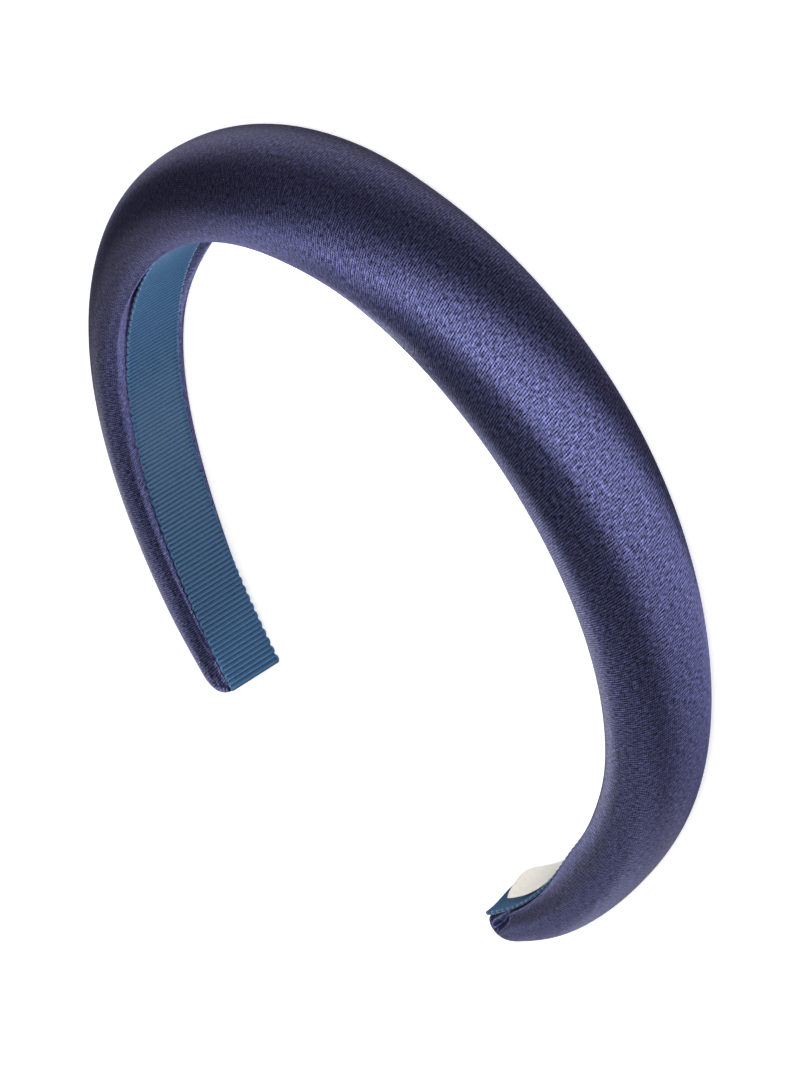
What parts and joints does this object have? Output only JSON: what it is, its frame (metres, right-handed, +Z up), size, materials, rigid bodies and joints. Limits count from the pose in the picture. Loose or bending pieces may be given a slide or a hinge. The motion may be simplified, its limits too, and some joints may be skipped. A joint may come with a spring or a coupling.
{
  "type": "padded headband",
  "caption": "Open arch-shaped padded headband, thickest at the crown and tapering to rounded tips, with a grosgrain ribbon on its inner face and a small blank cloth label.",
  "frame": {"origin": "on the surface that the headband lies on, under the middle of its bounding box", "axes": "+X ear to ear, +Y towards the crown, +Z up from the surface; the band lies on its side, so its width runs along Z"},
  "size_m": [0.1744, 0.1712, 0.0281],
  "materials": {
    "satin": "indigo satin over padding, soft sheen",
    "grosgrain": "teal blue grosgrain, ribbed across its width",
    "label_cloth": "plain beige woven cloth, blank"
  },
  "bodies": {
    "root": {"padded_cover": "satin", "ribbon_lining": "grosgrain", "label": "label_cloth"}
  },
  "joints": []
}
